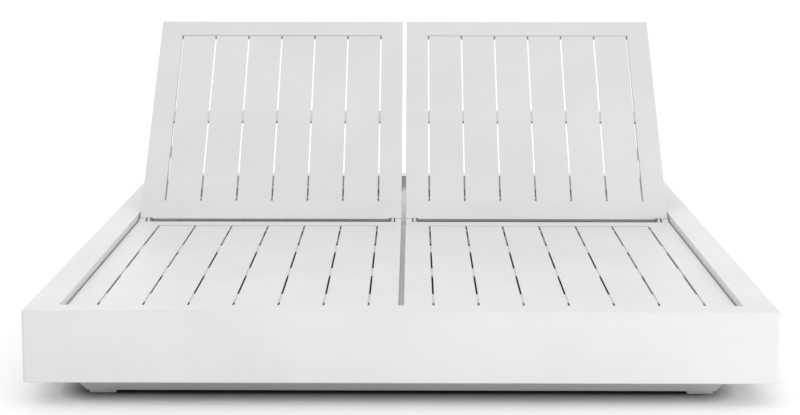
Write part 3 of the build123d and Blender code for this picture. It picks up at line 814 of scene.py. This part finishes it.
# Racks: two upright plates to a side, cut from thick aluminium plate with sloping notches and left
# in its rolled finish. They are welded on the rear cross members.
rack_thickness = 5.0 * millimetre
rack_light = (0.82, 0.82, 0.81, 1.0)
rack_dark = (0.70, 0.70, 0.70, 1.0)
rack_gloss, rolled_gloss, smear_gloss = 0.38, 0.25, 0.1
rolled_cells, rolled_stretch = 1900.0, (1.0, 0.06, 1.0)
smear_cells, smear_detail = 55.0, 4.0
rolled_relief, rolled_relief_share = 0.03 * millimetre, 0.6
rack_plate = Finish("rack_rolled_aluminium")
rack_place = rack_plate.place()
rolled_place = rack_plate.node("ShaderNodeMapping",
                               sockets={"Vector": rack_place, "Scale": rolled_stretch})
rolled = rack_plate.cloud(rolled_place, rolled_cells, cloud_detail)
smears = rack_plate.cloud(rack_place, smear_cells, smear_detail)
rack_plate.surface(
    Base_Color=rack_plate.blend(smears.eased(*cloud_range), rack_dark, rack_light),
    Metallic=1.0,
    Roughness=(rack_gloss + (rolled - noise_middle) * rolled_gloss
               + (smears - noise_middle) * smear_gloss),
    Normal=rack_plate.relief(rolled, rolled_relief, rolled_relief_share),
)
for side in ("left", "right"):
    node = "rack_" + side
    coated(rack_plate, node)
    low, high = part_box(node)
    runs = []
    for y in cross_middles[2:]:
        front, rear = y - cross_width / 2 + bead_radius, y + cross_width / 2 - bead_radius
        for x in (low.x, low.x + rack_thickness, high.x - rack_thickness, high.x):
            runs.append(((x, front, low.z), (x, rear, low.z)))
    fitted("rack_welds_" + side, repeated(weld_ripple(), bead_places(*runs)), rack_plate,
           "base")


# Floor, lights and camera: a white studio floor with a black painted shadow under the lounger,
# which fades out past its feet, a white sky that is brighter towards the ground and the rear, as a
# studio's lit walls are, a soft box near the right-hand corner, and the photograph's own viewpoint.
floor_white = (0.98, 0.98, 0.98, 1.0)
painted_shadow_black = (0.024, 0.024, 0.024, 1.0)
floor_reach, floor_squares = 40.0, 8
painted_shadow_round = 40.0 * millimetre
painted_shadow_shift = 8.0 * millimetre
painted_shadow_start, painted_shadow_fade = -3.0 * millimetre, 81.0 * millimetre
painted_shadow_side_squeeze = 1.35
sky_high, sky_low = 1.015, 1.105
sky_low_reach = 0.45
rear_lift, rear_reach = 0.35, (0.1, 0.9)
box_width, box_height, box_power = 1.8, 0.7, 26.0
box_place, box_aim = (2.6, -2.8, 0.4), (0.5, -0.6, 0.1)
view_point = Vector((0.0237, -4.9756, 0.9829))
view_yaw, view_pitch, view_roll = 0.00637, 0.148, 0.0009
view_lens, view_film, view_end = 92.93, 36.0, 200.0

floor_shape = bmesh.new()
bmesh.ops.create_grid(floor_shape, x_segments=floor_squares, y_segments=floor_squares,
                      size=floor_reach)
floor_mesh = bpy.data.meshes.new("studio_floor")
floor_shape.to_mesh(floor_mesh)
floor_shape.free()
floor = bpy.data.objects.new("studio_floor", floor_mesh)
bpy.context.scene.collection.objects.link(floor)
floor_paint = Finish("studio_floor_paint")
floor_place = floor_paint.place()
# Painted shadow: the floor's colour goes black under the lounger and fades to white past its feet.
out_x = abs(floor_paint.along(floor_place, "X") + painted_shadow_shift) - (foot_high.x - painted_shadow_round)
out_y = abs(floor_paint.along(floor_place, "Y")) - (foot_high.y - painted_shadow_round)
out_x, out_y = [out.sum_of("MAXIMUM", out, 0.0) for out in (out_x, out_y)]
out_x = (out_x - painted_shadow_round) * painted_shadow_side_squeeze + painted_shadow_round
beyond = floor_paint.root(out_x * out_x + out_y * out_y) - painted_shadow_round
unshadowed_share = floor_paint.node("ShaderNodeMapRange", {"interpolation_type": "LINEAR"},
                        {"Value": beyond, "From Min": painted_shadow_start, "From Max": painted_shadow_fade})
floor_paint.surface(Base_Color=floor_paint.blend(unshadowed_share, painted_shadow_black, floor_white), Roughness=1.0)
floor_mesh.materials.append(floor_paint.material)


class Sky(Finish):
    """The light from all round, whose nodes are added as those of a finish are."""

    def __init__(self, name):
        self.world = bpy.data.worlds.new(name)
        self.world.use_nodes = True
        self.tree = self.world.node_tree
        self.background = self.tree.nodes["Background"]


sky = Sky("studio_sky")
towards = sky.node("ShaderNodeTexCoord", out="Generated")
rise, away = sky.along(towards, "Z"), sky.along(towards, "Y")
strength = rise.eased(0.0, sky_low_reach) * (sky_high - sky_low) + sky_low
sky.background.inputs["Color"].default_value = (1.0, 1.0, 1.0, 1.0)
sky.feed(sky.background.inputs["Strength"], strength + away.eased(*rear_reach) * rear_lift)
bpy.context.scene.world = sky.world
bpy.context.scene.view_settings.view_transform = "Standard"

soft_box = bpy.data.lights.new("right_box", "AREA")
soft_box.shape = "RECTANGLE"
soft_box.size = box_width
soft_box.size_y = box_height
soft_box.energy = box_power
right_box = bpy.data.objects.new("right_box", soft_box)
bpy.context.scene.collection.objects.link(right_box)
right_box.location = box_place
box_sight = Vector(box_aim) - Vector(box_place)
right_box.rotation_euler = box_sight.to_track_quat("-Z", "Y").to_euler()

onward = Vector((-sin(view_yaw) * cos(view_pitch), cos(view_yaw) * cos(view_pitch),
                 -sin(view_pitch)))
level = Vector((cos(view_yaw), sin(view_yaw), 0.0))
upward = level.cross(onward)
right_hand = cos(view_roll) * level + sin(view_roll) * upward
overhead = cos(view_roll) * upward - sin(view_roll) * level
lens = bpy.data.cameras.new("photo_view")
lens.sensor_width = view_film
lens.sensor_fit = "HORIZONTAL"
lens.lens = view_lens
lens.clip_end = view_end
photo_view = bpy.data.objects.new("photo_view", lens)
bpy.context.scene.collection.objects.link(photo_view)
turn = Matrix((right_hand, overhead, -onward)).transposed()
photo_view.matrix_world = Matrix.Translation(view_point) @ turn.to_4x4()
bpy.context.scene.camera = photo_view
